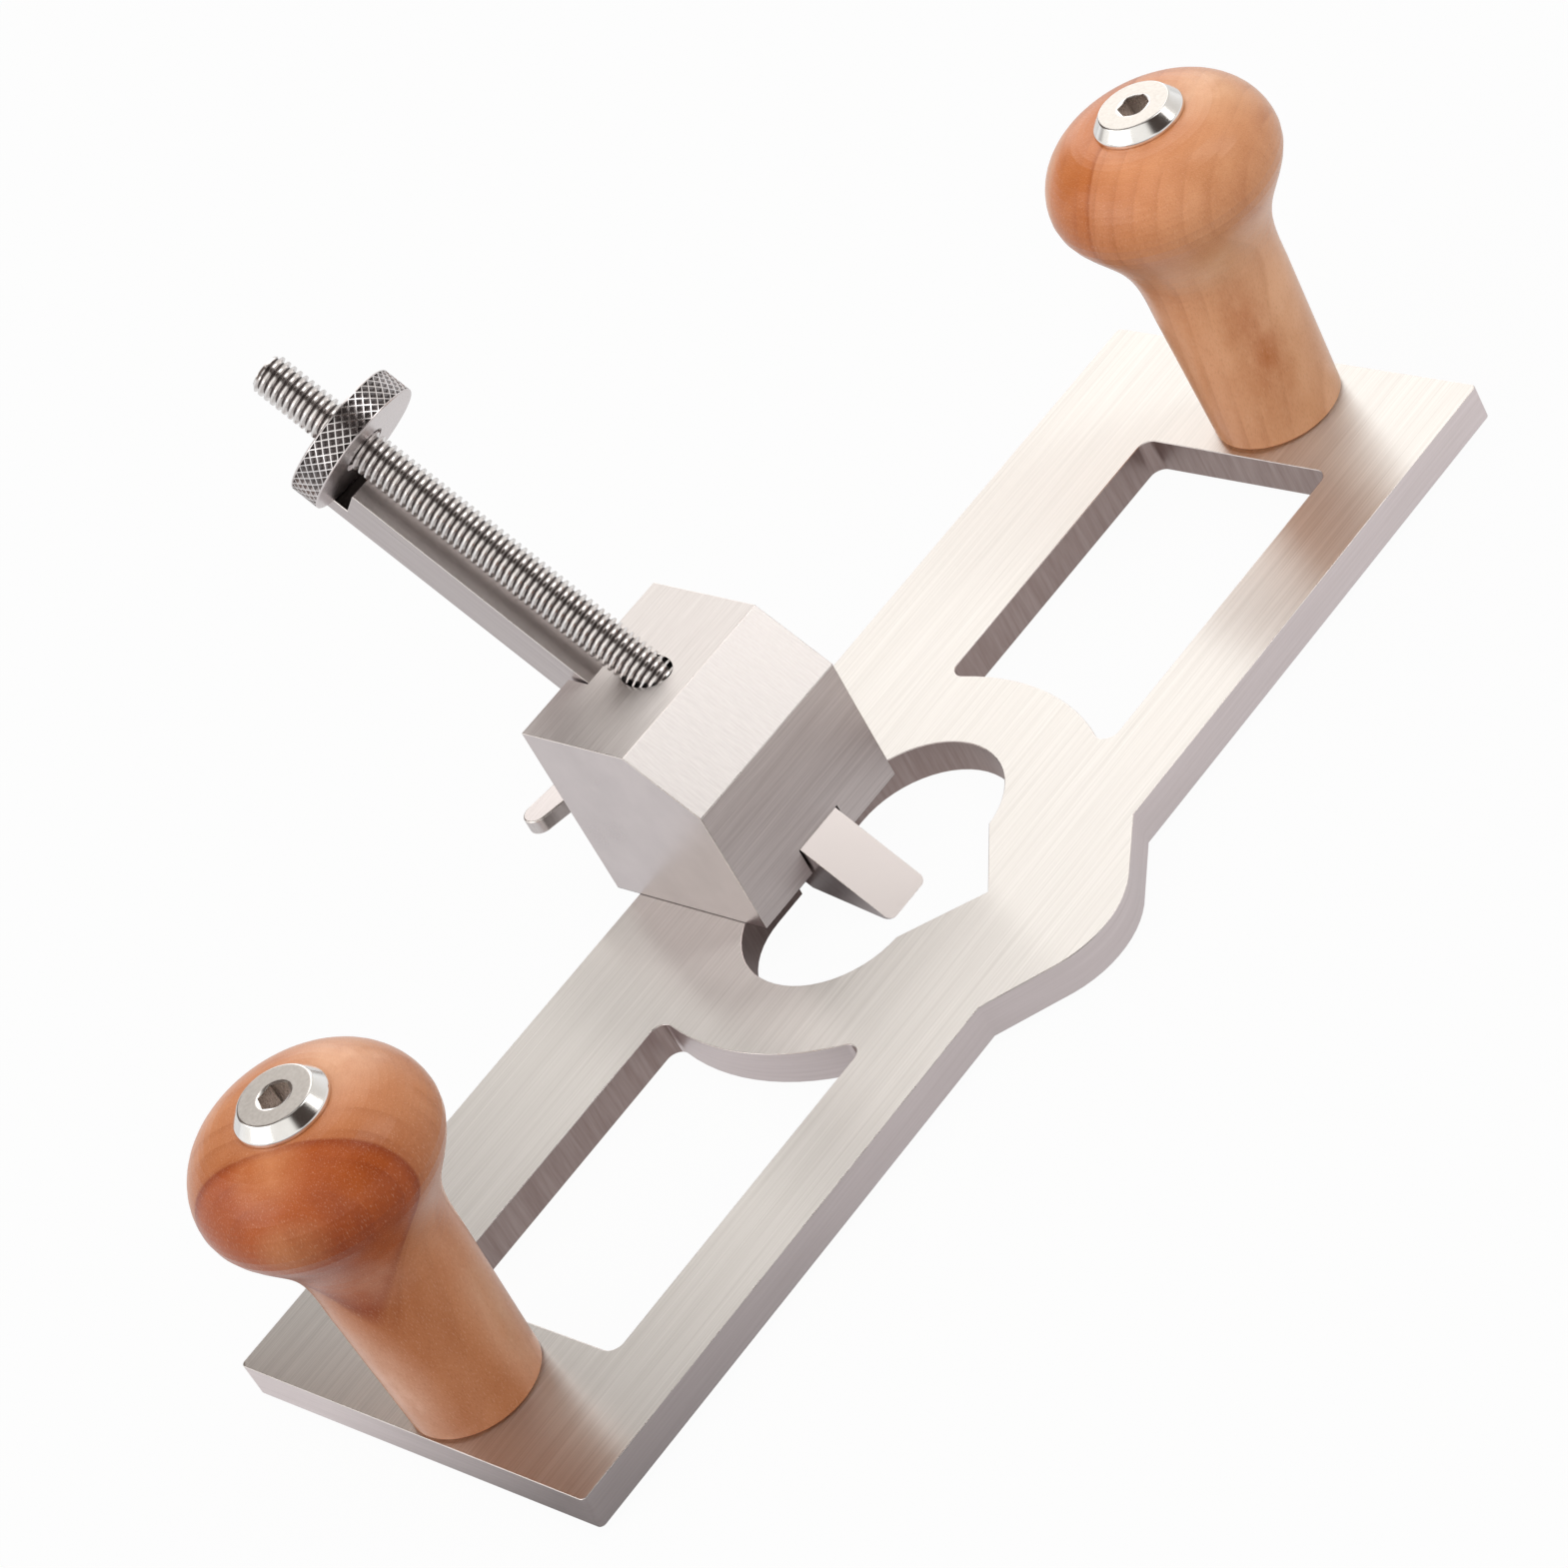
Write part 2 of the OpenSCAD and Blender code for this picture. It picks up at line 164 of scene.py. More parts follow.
# Lamps: name, direction, distance, size, level, tint, and whether metal shows them
LAMP_AIM = Vector((0, -0.02, 0.01))
PLAIN_LIGHT = (1.0, 0.985, 0.97)
WARM_LIGHT = (1.0, 0.985, 0.96)
SOFT_LIGHT = (1.0, 0.99, 0.975)
LAMPS = [
    ("back_right_box", (0.58, 0.61, 0.54), 1.3, (0.9, 1.3), 1.08, WARM_LIGHT, True),
    ("front_right_box", (0.47, -0.44, 0.77), 1.3, (0.40, 0.9), 2.0, PLAIN_LIGHT, True),
    ("left_box", (-0.80, 0.25, 0.55), 1.4, (0.9, 0.7), 1.8, PLAIN_LIGHT, True),
    ("back_left_box", (-0.45, 0.68, 0.6), 1.3, (0.6, 0.5), 0.8, WARM_LIGHT, True),
    ("top_box", (-0.2, -0.1, 1.0), 1.35, (1.4, 1.4), 1.1, SOFT_LIGHT, False),
    ("front_box", (-0.35, -0.85, 0.30), 1.35, (1.4, 1.0), 0.45, SOFT_LIGHT, False),
]


def joint(name):
    """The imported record's joint of that name."""
    return next(j for j in frame["joints"] if j["name"] == name)


# The stud's frame: across, towards the blade, and along the stud from where it leaves the block
STUD_FOOT = Vector(joint("nut_turn")["pos_m"])
ALONG = Vector(joint("nut_turn")["axis"]).normalized()
ACROSS = Vector((1, 0, 0))
TO_BLADE = ALONG.cross(ACROSS)


def on_stud(radius, angle, along):
    """Point at that radius and angle about the stud, that far along it."""
    turned = ACROSS * math.cos(angle) + TO_BLADE * math.sin(angle)
    return STUD_FOOT + turned * radius + ALONG * along


def reach_along(node):
    """How far a node reaches along the stud, as (low, high)."""
    found = [(v.co - STUD_FOOT).dot(ALONG) for v in frame["nodes"][node].data.vertices]
    return min(found), max(found)


def radius_about_stud(node):
    """Largest distance of a node's points from the stud's axis."""
    offsets = [v.co - STUD_FOOT for v in frame["nodes"][node].data.vertices]
    return max((o - ALONG * o.dot(ALONG)).length for o in offsets)


# Shader building blocks

def shader(name, metallic, roughness):
    """A new material, with its node tree and its main shader."""
    material = bpy.data.materials.new(name)
    material.use_nodes = True
    tree = material.node_tree
    main = tree.nodes["Principled BSDF"]
    main.inputs["Metallic"].default_value = metallic
    main.inputs["Roughness"].default_value = roughness
    return material, tree, main


def place(tree, size, rotation=(0, 0, 0), origin=(0, 0, 0)):
    """Object coordinates measured in features of that size, in a turned frame."""
    where = tree.nodes.new("ShaderNodeTexCoord")
    mapping = tree.nodes.new("ShaderNodeMapping")
    mapping.vector_type = "TEXTURE"
    mapping.inputs["Location"].default_value = origin
    mapping.inputs["Rotation"].default_value = rotation
    mapping.inputs["Scale"].default_value = size
    tree.links.new(where.outputs["Object"], mapping.inputs["Vector"])
    return mapping.outputs["Vector"]


def noise(tree, vector, detail=2.0, roughness=0.5):
    """Noise whose features are one unit of the vector across."""
    texture = tree.nodes.new("ShaderNodeTexNoise")
    texture.inputs["Scale"].default_value = 1.0
    texture.inputs["Detail"].default_value = detail
    texture.inputs["Roughness"].default_value = roughness
    tree.links.new(vector, texture.inputs["Vector"])
    return texture.outputs["Fac"]


def ramp(tree, value, stops):
    """Colours along a value: stops are (place, colour)."""
    node = tree.nodes.new("ShaderNodeValToRGB")
    points = node.color_ramp.elements
    while len(points) < len(stops):
        points.new(0.5)
    for point, (at, colour) in zip(points, stops):
        point.position = at
        point.color = (*colour, 1)
    tree.links.new(value, node.inputs["Fac"])
    return node.outputs["Color"]


def spread(tree, value, low, high, from_low=0.3, from_high=0.7):
    """A value's middle range moved to low to high."""
    node = tree.nodes.new("ShaderNodeMapRange")
    node.inputs["From Min"].default_value = from_low
    node.inputs["From Max"].default_value = from_high
    node.inputs["To Min"].default_value = low
    node.inputs["To Max"].default_value = high
    tree.links.new(value, node.inputs["Value"])
    return node.outputs["Result"]


def mix(tree, a, b, factor, mode="MIX"):
    """Two colours mixed by a number or another socket."""
    node = tree.nodes.new("ShaderNodeMix")
    node.data_type = "RGBA"
    node.blend_type = mode
    for socket, value in ((node.inputs[0], factor), (node.inputs[6], a), (node.inputs[7], b)):
        if hasattr(value, "links"):
            tree.links.new(value, socket)
        elif isinstance(value, (int, float)):
            socket.default_value = value
        else:
            socket.default_value = (*value, 1)
    return node.outputs[2]


def bump(tree, main, height, depth, strength=1.0):
    """Small relief of that depth on the main shader."""
    node = tree.nodes.new("ShaderNodeBump")
    node.inputs["Strength"].default_value = strength
    node.inputs["Distance"].default_value = depth
    tree.links.new(height, node.inputs["Height"])
    tree.links.new(node.outputs["Normal"], main.inputs["Normal"])


def brushed(name, dark, light, rough, streak, rotation=(0, 0, 0), anisotropy=0.0, depth=0.004 * MM):
    """Steel with fine scratches: streak is a scratch's size along x, y and z of the turned frame."""
    material, tree, main = shader(name, 1.0, rough[0])
    fine = noise(tree, place(tree, streak, rotation), detail=3.0, roughness=0.6)
    wide = [5 * s for s in streak]
    broad = noise(tree, place(tree, wide, rotation), detail=1.0)
    both = mix(tree, fine, broad, 0.2)
    tree.links.new(ramp(tree, both, [(0.32, dark), (0.68, light)]), main.inputs["Base Color"])
    tree.links.new(spread(tree, both, *rough), main.inputs["Roughness"])
    if depth:
        bump(tree, main, fine, depth)
    if anisotropy:
        tangent = tree.nodes.new("ShaderNodeTangent")
        tangent.direction_type = "RADIAL"
        tangent.axis = "X"
        tree.links.new(tangent.outputs["Tangent"], main.inputs["Tangent"])
        main.inputs["Anisotropic"].default_value = anisotropy
    return material


def growth_rings(tree, vector, distortion, detail_scale):
    """Rises from 0 to 1 over each growth ring, outwards from the pith."""
    rings = tree.nodes.new("ShaderNodeTexWave")
    rings.wave_type = "RINGS"
    rings.rings_direction = "Z"
    rings.wave_profile = "SAW"
    rings.inputs["Scale"].default_value = math.pi / 10
    rings.inputs["Distortion"].default_value = distortion
    rings.inputs["Detail"].default_value = 1.5
    rings.inputs["Detail Scale"].default_value = detail_scale
    tree.links.new(vector, rings.inputs["Vector"])
    return rings.outputs["Fac"]


def near(tree, centre, reach):
    """One at a point, falling to nothing at that reach along x, y and z from it."""
    length = tree.nodes.new("ShaderNodeVectorMath")
    length.operation = "LENGTH"
    tree.links.new(place(tree, reach, origin=centre), length.inputs[0])
    return spread(tree, length.outputs["Value"], 1.0, 0.0, 0.1, 1.0)


def wood(name, knob_node, facing, lean, first, tones, patches, stem):
    """Varnished hardwood with growth rings round a pith off to one side of the knob: first is how far
    before its middle one ring passes, tones are the colours over a ring, patches are spots of another
    colour (direction, radius, height, reach, colour): the pale ones are painted highlights, the dark ones
    on the heads painted shade and the dark one on the right stem a streak in the wood; and stem is a
    paler tint below the head, painted light on the stem."""
    material, tree, main = shader(name, 0.0, 0.45)
    low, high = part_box(knob_node)
    middle = (low + high) / 2
    pith = first + RINGS_TO_PITH * GROWTH_RING
    origin = middle + Vector((math.cos(facing), math.sin(facing), 0)) * pith
    turn = (0, -lean, facing)
    grain = place(tree, (GROWTH_RING, GROWTH_RING, 3 * GROWTH_RING), turn, origin)
    growth = ramp(tree, growth_rings(tree, grain, distortion=0.26, detail_scale=6.0), tones)
    fine_grain = place(tree, (THIN_RING, THIN_RING, 12 * THIN_RING), turn, origin)
    thin = ramp(tree, growth_rings(tree, fine_grain, distortion=2.0, detail_scale=0.7), [
        (0.0, WHITE), (0.50, WHITE), (0.93, (0.84, 0.75, 0.67)), (1.0, WHITE),
    ])
    uneven = noise(tree, place(tree, (9 * MM, 9 * MM, 14 * MM), turn), detail=1.0)
    lined = mix(tree, growth, thin, spread(tree, uneven, 0.0, 0.8), "MULTIPLY")
    cloud = noise(tree, place(tree, (10 * MM, 10 * MM, 22 * MM), turn), detail=2.5)
    clouded = mix(tree, lined, (0.80, 0.68, 0.56), spread(tree, cloud, 0.0, 0.7), "MULTIPLY")
    mottle = noise(tree, place(tree, (3 * MM, 3 * MM, 5 * MM), turn), detail=3.0)
    patched = mix(tree, clouded, (0.86, 0.76, 0.66), spread(tree, mottle, 0.0, 0.5), "MULTIPLY")
    # Pale patches are painted highlights and dark ones on the heads painted shade; the dark one on the
    # right stem is a streak in the wood.
    for azimuth, radius, height, reach, colour in patches:
        spot = (middle.x + radius * math.cos(azimuth), middle.y + radius * math.sin(azimuth), height)
        share = tree.nodes.new("ShaderNodeMath")
        share.operation = "MULTIPLY"
        tree.links.new(near(tree, spot, reach), share.inputs[0])
        tree.links.new(spread(tree, mottle, 0.45, 1.0), share.inputs[1])
        patched = mix(tree, patched, colour, share.outputs[0])
    # Painted light: below the head the colour is tinted paler, for the light on the stem and neck.
    up = tree.nodes.new("ShaderNodeSeparateXYZ")
    tree.links.new(place(tree, (1, 1, 1)), up.inputs[0])
    below = spread(tree, up.outputs["Z"], 1.0, 0.0, STEM_TOP, HEAD_BOTTOM)
    tinted = mix(tree, patched, stem, below, "MULTIPLY")
    pores = noise(tree, place(tree, (0.15 * MM, 0.15 * MM, 0.6 * MM), turn), detail=2.0)
    fleck = ramp(tree, pores, [(0.30, (0.82, 0.75, 0.70)), (0.44, WHITE)])
    speckled = mix(tree, tinted, fleck, 0.6, "MULTIPLY")
    flecked = mix(tree, speckled, (0.92, 0.62, 0.42), spread(tree, pores, 0.0, 0.22, 0.58, 0.72))
    tree.links.new(flecked, main.inputs["Base Color"])
    tree.links.new(spread(tree, pores, 0.52, 0.40), main.inputs["Roughness"])
    bump(tree, main, pores, 0.012 * MM, 0.5)
    main.inputs["Specular IOR Level"].default_value = 0.12
    main.inputs["Coat Weight"].default_value = 0.8
    main.inputs["Coat IOR"].default_value = 1.38
    main.inputs["Coat Roughness"].default_value = 0.24
    return material


# Mesh building blocks

def finish_mesh(name, bm, body, nodes, materials):
    """Turns a bmesh into a smooth piece that rides a body and stands for those nodes."""
    mesh = bpy.data.meshes.new(name)
    bm.to_mesh(mesh)
    bm.free()
    for material in materials:
        mesh.materials.append(material)
    piece = bpy.data.objects.new(name, mesh)
    bpy.context.scene.collection.objects.link(piece)
    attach(piece, body)
    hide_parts(*nodes)
    return piece


def shade(bm, sharp_above):
    """Smooth faces, with the edges sharper than that angle kept crisp."""
    for face in bm.faces:
        face.smooth = True
    for edge in bm.edges:
        edge.smooth = len(edge.link_faces) == 2 and edge.calc_face_angle() < sharp_above


def even_faces(piece):
    """Keeps large faces flat to the light up to their broken edges."""
    weighted = piece.modifiers.new("even_faces", "WEIGHTED_NORMAL")
    weighted.keep_sharp = True
    weighted.weight = 60


def any_edge(edge):
    """Every sharp edge is broken."""
    return True


def no_seam(centre):
    """No broken edge lies in a seam."""
    return False


def softened(node, body, materials, choose, broken=any_edge, width=EDGE_BREAK, seam=no_seam):
    """A node's own shape with its edges broken. choose(normal, centre) picks each face's material,
    broken(edge) picks the sharp edges to break, and the last material goes on those, or the last but
    one where seam(centre) is true."""
    bm = bmesh.new()
    bm.from_mesh(frame["nodes"][node].data)
    bmesh.ops.remove_doubles(bm, verts=bm.verts, dist=SAME_POINT)
    bmesh.ops.dissolve_degenerate(bm, edges=bm.edges, dist=0.01 * MM)
    bmesh.ops.dissolve_limit(
        bm, angle_limit=math.radians(0.2), use_dissolve_boundaries=False, verts=bm.verts, edges=bm.edges
    )
    for face in bm.faces:
        face.material_index = choose(face.normal, face.calc_center_median())
    joined = [e for e in bm.edges if len(e.link_faces) == 2]
    edges = [e for e in joined if e.calc_face_angle() > BREAK_ABOVE and broken(e)]
    bmesh.ops.bevel(
        bm, geom=edges, offset=width, offset_type="OFFSET", segments=BREAK_STEPS, profile=0.5,
        affect="EDGES", clamp_overlap=False, material=len(materials) - 1, loop_slide=True,
    )
    for face in bm.faces:
        if face.material_index == len(materials) - 1 and seam(face.calc_center_median()):
            face.material_index = len(materials) - 2
    shade(bm, CRISP_ABOVE)
    even_faces(finish_mesh(node + "_edged", bm, body, [node], materials))


# Steels: name, dark and light tone, roughness from and to, and a scratch's size

SLANT = (math.radians(45), 0, 0)
SOLE_TOP = brushed(
    "sole_brushed", (0.63, 0.605, 0.58), (0.80, 0.775, 0.75), (0.33, 0.38),
    (24 * MM, 0.22 * MM, 0.22 * MM), anisotropy=0.96,
)
SOLE_EDGE = brushed(
    "sole_ground_edge", (0.70, 0.62, 0.62), (0.79, 0.71, 0.715), (0.32, 0.40),
    (18 * MM, 18 * MM, 0.4 * MM),
)
# Painted shade: the walls inside the plate's openings are steel painted dark where shade falls.
SOLE_CUT_PAINTED_SHADE = brushed(
    "sole_cut_wall_painted_shade", (0.30, 0.225, 0.21), (0.42, 0.34, 0.325), (0.36, 0.46),
    (0.6 * MM, 0.6 * MM, 9 * MM),
)
STEEL_CORNER = brushed(
    "broken_edge", (0.62, 0.57, 0.55), (0.80, 0.76, 0.74), (0.24, 0.32),
    (6 * MM, 6 * MM, 6 * MM),
)
BLOCK_BRUSHED = brushed(
    "block_brushed", (0.46, 0.43, 0.42), (0.63, 0.60, 0.588), (0.28, 0.38),
    (9 * MM, 0.2 * MM, 0.2 * MM), anisotropy=0.7,
)
BLOCK_CHAMFER = brushed(
    "block_brushed_slope", (0.62, 0.59, 0.58), (0.80, 0.77, 0.755), (0.30, 0.40),
    (0.22 * MM, 2.4 * MM, 0.22 * MM), SLANT,
)
BLOCK_SIDE = brushed(
    "block_ground_side", (0.60, 0.545, 0.548), (0.69, 0.63, 0.632), (0.26, 0.34),
    (9 * MM, 9 * MM, 9 * MM),
)
BLOCK_FRONT = brushed(
    "block_brushed_front", (0.56, 0.50, 0.49), (0.72, 0.655, 0.645), (0.32, 0.42),
    (14 * MM, 0.22 * MM, 0.22 * MM), anisotropy=0.6,
)
BLADE_GROUND = brushed(
    "blade_ground", (0.48, 0.43, 0.43), (0.58, 0.53, 0.53), (0.26, 0.34),
    (0.28 * MM, 26 * MM, 0.28 * MM), SLANT,
)
BLADE_FACE = brushed(
    "blade_face", (0.685, 0.635, 0.62), (0.715, 0.665, 0.65), (0.275, 0.29),
    (14 * MM, 18 * MM, 14 * MM), SLANT, depth=0.0,
)
# Painted shade: the notch round the nut is near-black steel where shade falls.
BLADE_NOTCH_PAINTED_SHADE = brushed(
    "blade_notch_painted_shade", (0.015, 0.012, 0.011), (0.04, 0.033, 0.031), (0.42, 0.55),
    (3 * MM, 0.3 * MM, 0.3 * MM),
)
# Painted shade: dark steel on the broken edges in the seam under the block.
SEAM_PAINTED_SHADE = brushed(
    "seam_painted_shade", (0.06, 0.05, 0.048), (0.13, 0.11, 0.105), (0.42, 0.55),
    (3 * MM, 3 * MM, 0.3 * MM),
)
THREAD_BRIGHT = brushed(
    "thread_bright", (0.70, 0.67, 0.66), (0.86, 0.84, 0.83), (0.16, 0.24),
    (1.2 * MM, 1.2 * MM, 1.2 * MM),
)
# Painted shade: the thread's root faces are dark steel where shade falls.
THREAD_ROOT_PAINTED_SHADE = brushed(
    "thread_root_painted_shade", (0.05, 0.042, 0.04), (0.12, 0.10, 0.098), (0.4, 0.5),
    (0.8 * MM, 0.8 * MM, 0.8 * MM),
)
KNURL_RIDGE_STEEL = brushed(
    "knurl_ridge", (0.76, 0.73, 0.73), (0.90, 0.87, 0.87), (0.18, 0.26),
    (0.9 * MM, 0.9 * MM, 0.9 * MM),
)
# Painted shade: the knurl's pit walls, pit floors and the nut's bore are painted darker than its ridges.
KNURL_WALL_PAINTED_SHADE = brushed(
    "knurl_wall_painted_shade", (0.24, 0.22, 0.22), (0.40, 0.37, 0.37), (0.22, 0.32),
    (0.9 * MM, 0.9 * MM, 0.9 * MM),
)
PIT_AND_BORE_PAINTED_SHADE = brushed(
    "pit_and_bore_painted_shade", (0.05, 0.042, 0.04), (0.12, 0.10, 0.098), (0.4, 0.5),
    (0.9 * MM, 0.9 * MM, 0.9 * MM),
)
NUT_FACE = brushed(
    "nut_face", (0.62, 0.565, 0.565), (0.76, 0.705, 0.705), (0.24, 0.34),
    (5 * MM, 5 * MM, 5 * MM),
)
FASTENER = brushed(
    "fastener_bright", (0.56, 0.52, 0.515), (0.70, 0.655, 0.65), (0.26, 0.36),
    (4 * MM, 0.4 * MM, 4 * MM),
)
BOLT_POLISHED = brushed(
    "bolt_polished", (0.80, 0.785, 0.765), (0.88, 0.87, 0.855), (0.12, 0.18),
    (3 * MM, 3 * MM, 3 * MM), depth=0.001 * MM,
)
BOLT_SATIN = brushed(
    "bolt_satin", (0.55, 0.52, 0.49), (0.68, 0.65, 0.62), (0.32, 0.42),
    (0.5 * MM, 0.5 * MM, 0.5 * MM),
)
BOLT_SOCKET = brushed(
    "bolt_socket", (0.50, 0.45, 0.42), (0.68, 0.63, 0.60), (0.22, 0.32),
    (0.7 * MM, 0.7 * MM, 4 * MM),
)

# Woods: tones over a growth ring, and patches by direction, radius, height, reach and colour: painted
# highlights where pale, painted shade where dark on the heads, and a streak in the wood

LEFT_TONES = [
    (0.0, (0.54, 0.185, 0.066)), (0.10, (0.62, 0.245, 0.105)), (0.30, (0.68, 0.285, 0.13)),
    (0.72, (0.68, 0.285, 0.13)), (0.77, (0.51, 0.118, 0.022)), (0.955, (0.46, 0.097, 0.015)),
    (0.990, (0.34, 0.062, 0.010)), (1.0, (0.54, 0.185, 0.066)),
]
LEFT_STREAKS_AND_PAINTED_LIGHT = [
    (math.radians(-120), 16.3 * MM, 47 * MM, (10 * MM, 10 * MM, 9 * MM), (0.30, 0.050, 0.010)),
    (math.radians(-150), 9 * MM, 55.5 * MM, (6 * MM, 6 * MM, 5 * MM), (0.70, 0.27, 0.11)),
    (math.radians(-130), 11 * MM, 36 * MM, (8 * MM, 8 * MM, 6 * MM), (0.60, 0.25, 0.14)),
    (math.radians(-175), 9.5 * MM, 15 * MM, (7 * MM, 7 * MM, 17 * MM), (0.80, 0.42, 0.26)),
    (math.radians(-8), 9 * MM, 56 * MM, (9 * MM, 9 * MM, 6 * MM), (0.84, 0.44, 0.25)),
    (math.radians(-62), 9.5 * MM, 18 * MM, (6 * MM, 6 * MM, 16 * MM), (0.68, 0.345, 0.185)),
]
RIGHT_TONES = [
    (0.0, (0.76, 0.31, 0.138)), (0.20, (0.77, 0.325, 0.148)), (0.45, (0.83, 0.395, 0.20)),
    (0.72, (0.83, 0.395, 0.20)), (0.77, (0.70, 0.24, 0.074)), (0.97, (0.65, 0.21, 0.058)),
    (0.990, (0.53, 0.155, 0.040)), (1.0, (0.76, 0.31, 0.138)),
]
RIGHT_STREAKS_AND_PAINTED_LIGHT = [
    (math.radians(165), 16 * MM, 46 * MM, (8 * MM, 8 * MM, 8 * MM), (0.56, 0.165, 0.042)),
    (math.radians(-122), 9.5 * MM, 22 * MM, (4.5 * MM, 4.5 * MM, 16 * MM), (0.48, 0.13, 0.035)),
    (math.radians(-128), 13 * MM, 39 * MM, (12 * MM, 12 * MM, 6 * MM), (0.88, 0.48, 0.27)),
    (math.radians(-37), 10 * MM, 56 * MM, (9 * MM, 9 * MM, 6 * MM), (0.90, 0.50, 0.28)),
]
# Each stem tint paints the stem paler: painted light.
KNOB_WOODS = {
    "knob_left": wood(
        "wood_left", "knob_left", math.radians(-142.6), lean=0.123, first=10.4 * MM,
        tones=LEFT_TONES, patches=LEFT_STREAKS_AND_PAINTED_LIGHT, stem=(1.10, 1.18, 1.32),
    ),
    "knob_right": wood(
        "wood_right", "knob_right", math.radians(109), lean=0.15, first=8.3 * MM,
        tones=RIGHT_TONES, patches=RIGHT_STREAKS_AND_PAINTED_LIGHT, stem=(1.20, 1.42, 1.65),
    ),
}


# Plate, block, blade and wing screw: the solids with their edges broken

def plate_front():
    """Where the plate's straight front edge lies: the lowest y near its ends."""
    low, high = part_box("base_plate")
    points = [v.co for v in frame["nodes"]["base_plate"].data.vertices]
    return min(p.y for p in points if p.x > 0.9 * high.x)


PLATE_FRONT = plate_front()


def plate_material(normal, centre):
    """Brushed top and sole, ground outside edge, and cut walls inside the openings painted dark as shade.
    """
    if abs(normal.z) > 0.5:
        return 0
    low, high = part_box("base_plate")
    inside_x = abs(centre.x) < high.x - NEAR_END
    behind_front_edge = centre.y > PLATE_FRONT + NEAR_EDGE
    before_back_edge = centre.y < high.y - NEAR_EDGE
    from_ring = math.hypot(centre.x, centre.y - high.y + RING_CENTRE_FROM_BACK)
    on_ring = abs(from_ring - RING_RADIUS) < NEAR_RING
    return 2 if inside_x and behind_front_edge and before_back_edge and not on_ring else 1


def rims(flats):
    """Closed rims of a group of flat faces, each as its vertices in order with the faces on the left."""
    inside = set(flats)
    following = {}
    for face in flats:
        for loop in face.loops:
            if any(other not in inside for other in loop.edge.link_faces):
                following[loop.vert] = loop.link_loop_next.vert
    found = []
    while following:
        start, vert = following.popitem()
        rim = [start]
        while vert != start:
            rim.append(vert)
            vert = following.pop(vert)
        found.append(rim)
    return found


def inset(rim, normal, distance):
    """A rim's points moved in over its own flat faces."""
    moved = []
    for before, here, after in zip([rim[-1], *rim[:-1]], rim, [*rim[1:], rim[0]]):
        first = normal.cross((here.co - before.co).normalized())
        second = normal.cross((after.co - here.co).normalized())
        moved.append(here.co + (first + second) * distance / (1 + first.dot(second)))
    return moved


def edged_plate():
    """The plate with the rims of its top and sole broken, and its small holes left as they are."""
    source = bmesh.new()
    source.from_mesh(frame["nodes"]["base_plate"].data)
    bmesh.ops.remove_doubles(source, verts=source.verts, dist=SAME_POINT)
    bm = bmesh.new()
    on_wall = {}
    flat_edges = []
    for normal in (Vector((0, 0, 1)), Vector((0, 0, -1))):
        flats = [face for face in source.faces if face.normal.dot(normal) > 0.9]
        edges = []
        for rim in rims(flats):
            across = max(v.co.x for v in rim) - min(v.co.x for v in rim)
            width = EDGE_BREAK if across > SMALL_HOLE else 0.0
            rows = [[bm.verts.new(v.co - normal * width) for v in rim]]
            for i in range(1, BREAK_STEPS + 1 if width else 1):
                turn = math.pi / 2 * i / BREAK_STEPS
                drop = normal * width * (1 - math.sin(turn))
                moved = inset(rim, normal, width * (1 - math.cos(turn)))
                rows.append([bm.verts.new(p - drop) for p in moved])
            on_wall.update(zip(rim, rows[0]))
            for a, b in zip(rows, rows[1:]):
                for i in range(len(a)):
                    bm.faces.new((a[i - 1], a[i], b[i], b[i - 1])).material_index = 3
            last = rows[-1]
            for i in range(len(last)):
                edge = bm.edges.get((last[i - 1], last[i]))
                edges.append(edge or bm.edges.new((last[i - 1], last[i])))
        flat_edges.append((normal, edges))
    for face in source.faces:
        if abs(face.normal.z) < 0.9:
            verts = [on_wall.get(v) or on_wall.setdefault(v, bm.verts.new(v.co)) for v in face.verts]
            wall = bm.faces.new(verts)
            wall.material_index = plate_material(face.normal, face.calc_center_median())
    for normal, edges in flat_edges:
        bmesh.ops.triangle_fill(bm, use_beauty=True, edges=edges, normal=normal)
    source.free()
    bmesh.ops.recalc_face_normals(bm, faces=bm.faces)
    shade(bm, CRISP_ABOVE)
    piece = finish_mesh(
        "base_plate_edged", bm, "plane_body", ["base_plate"],
        [SOLE_TOP, SOLE_EDGE, SOLE_CUT_PAINTED_SHADE, STEEL_CORNER],
    )
    even_faces(piece)


def long_edge(edge):
    """A straight edge of the block, and not a step round one of its holes."""
    return edge.calc_length() > LONG_EDGE


def under_block(centre):
    """In the seam between the block and the plate, where the broken edge is painted dark as shade."""
    return centre.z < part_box("blade_holder")[0].z + EDGE_BREAK


def block_material(normal, centre):
    """Ground sides, a duller front, a slope brushed down, and the rest brushed across."""
    if abs(normal.x) > 0.7:
        return 1
    if normal.y < -0.9:
        return 2
    return 3 if normal.y < -0.3 and normal.z > 0.3 else 0


BLADE_FACE_AT = min((v.co - STUD_FOOT).dot(TO_BLADE) for v in frame["nodes"]["blade"].data.vertices)


def blade_material(normal, centre):
    """Ground sides, painted shade in the notch for the nut, and the rest finished across."""
    from_stud = centre - STUD_FOOT
    nut_low, nut_high = reach_along("depth_nut")
    in_notch = nut_low - NOTCH_BELOW_NUT < from_stud.dot(ALONG) < nut_high + NOTCH_ABOVE_NUT
    sunk = NOTCH_FROM < from_stud.dot(TO_BLADE) - BLADE_FACE_AT < NOTCH_TO
    if in_notch and sunk and abs(normal.x) < 0.5:
        return 2
    return 1 if abs(normal.x) > 0.7 else 0


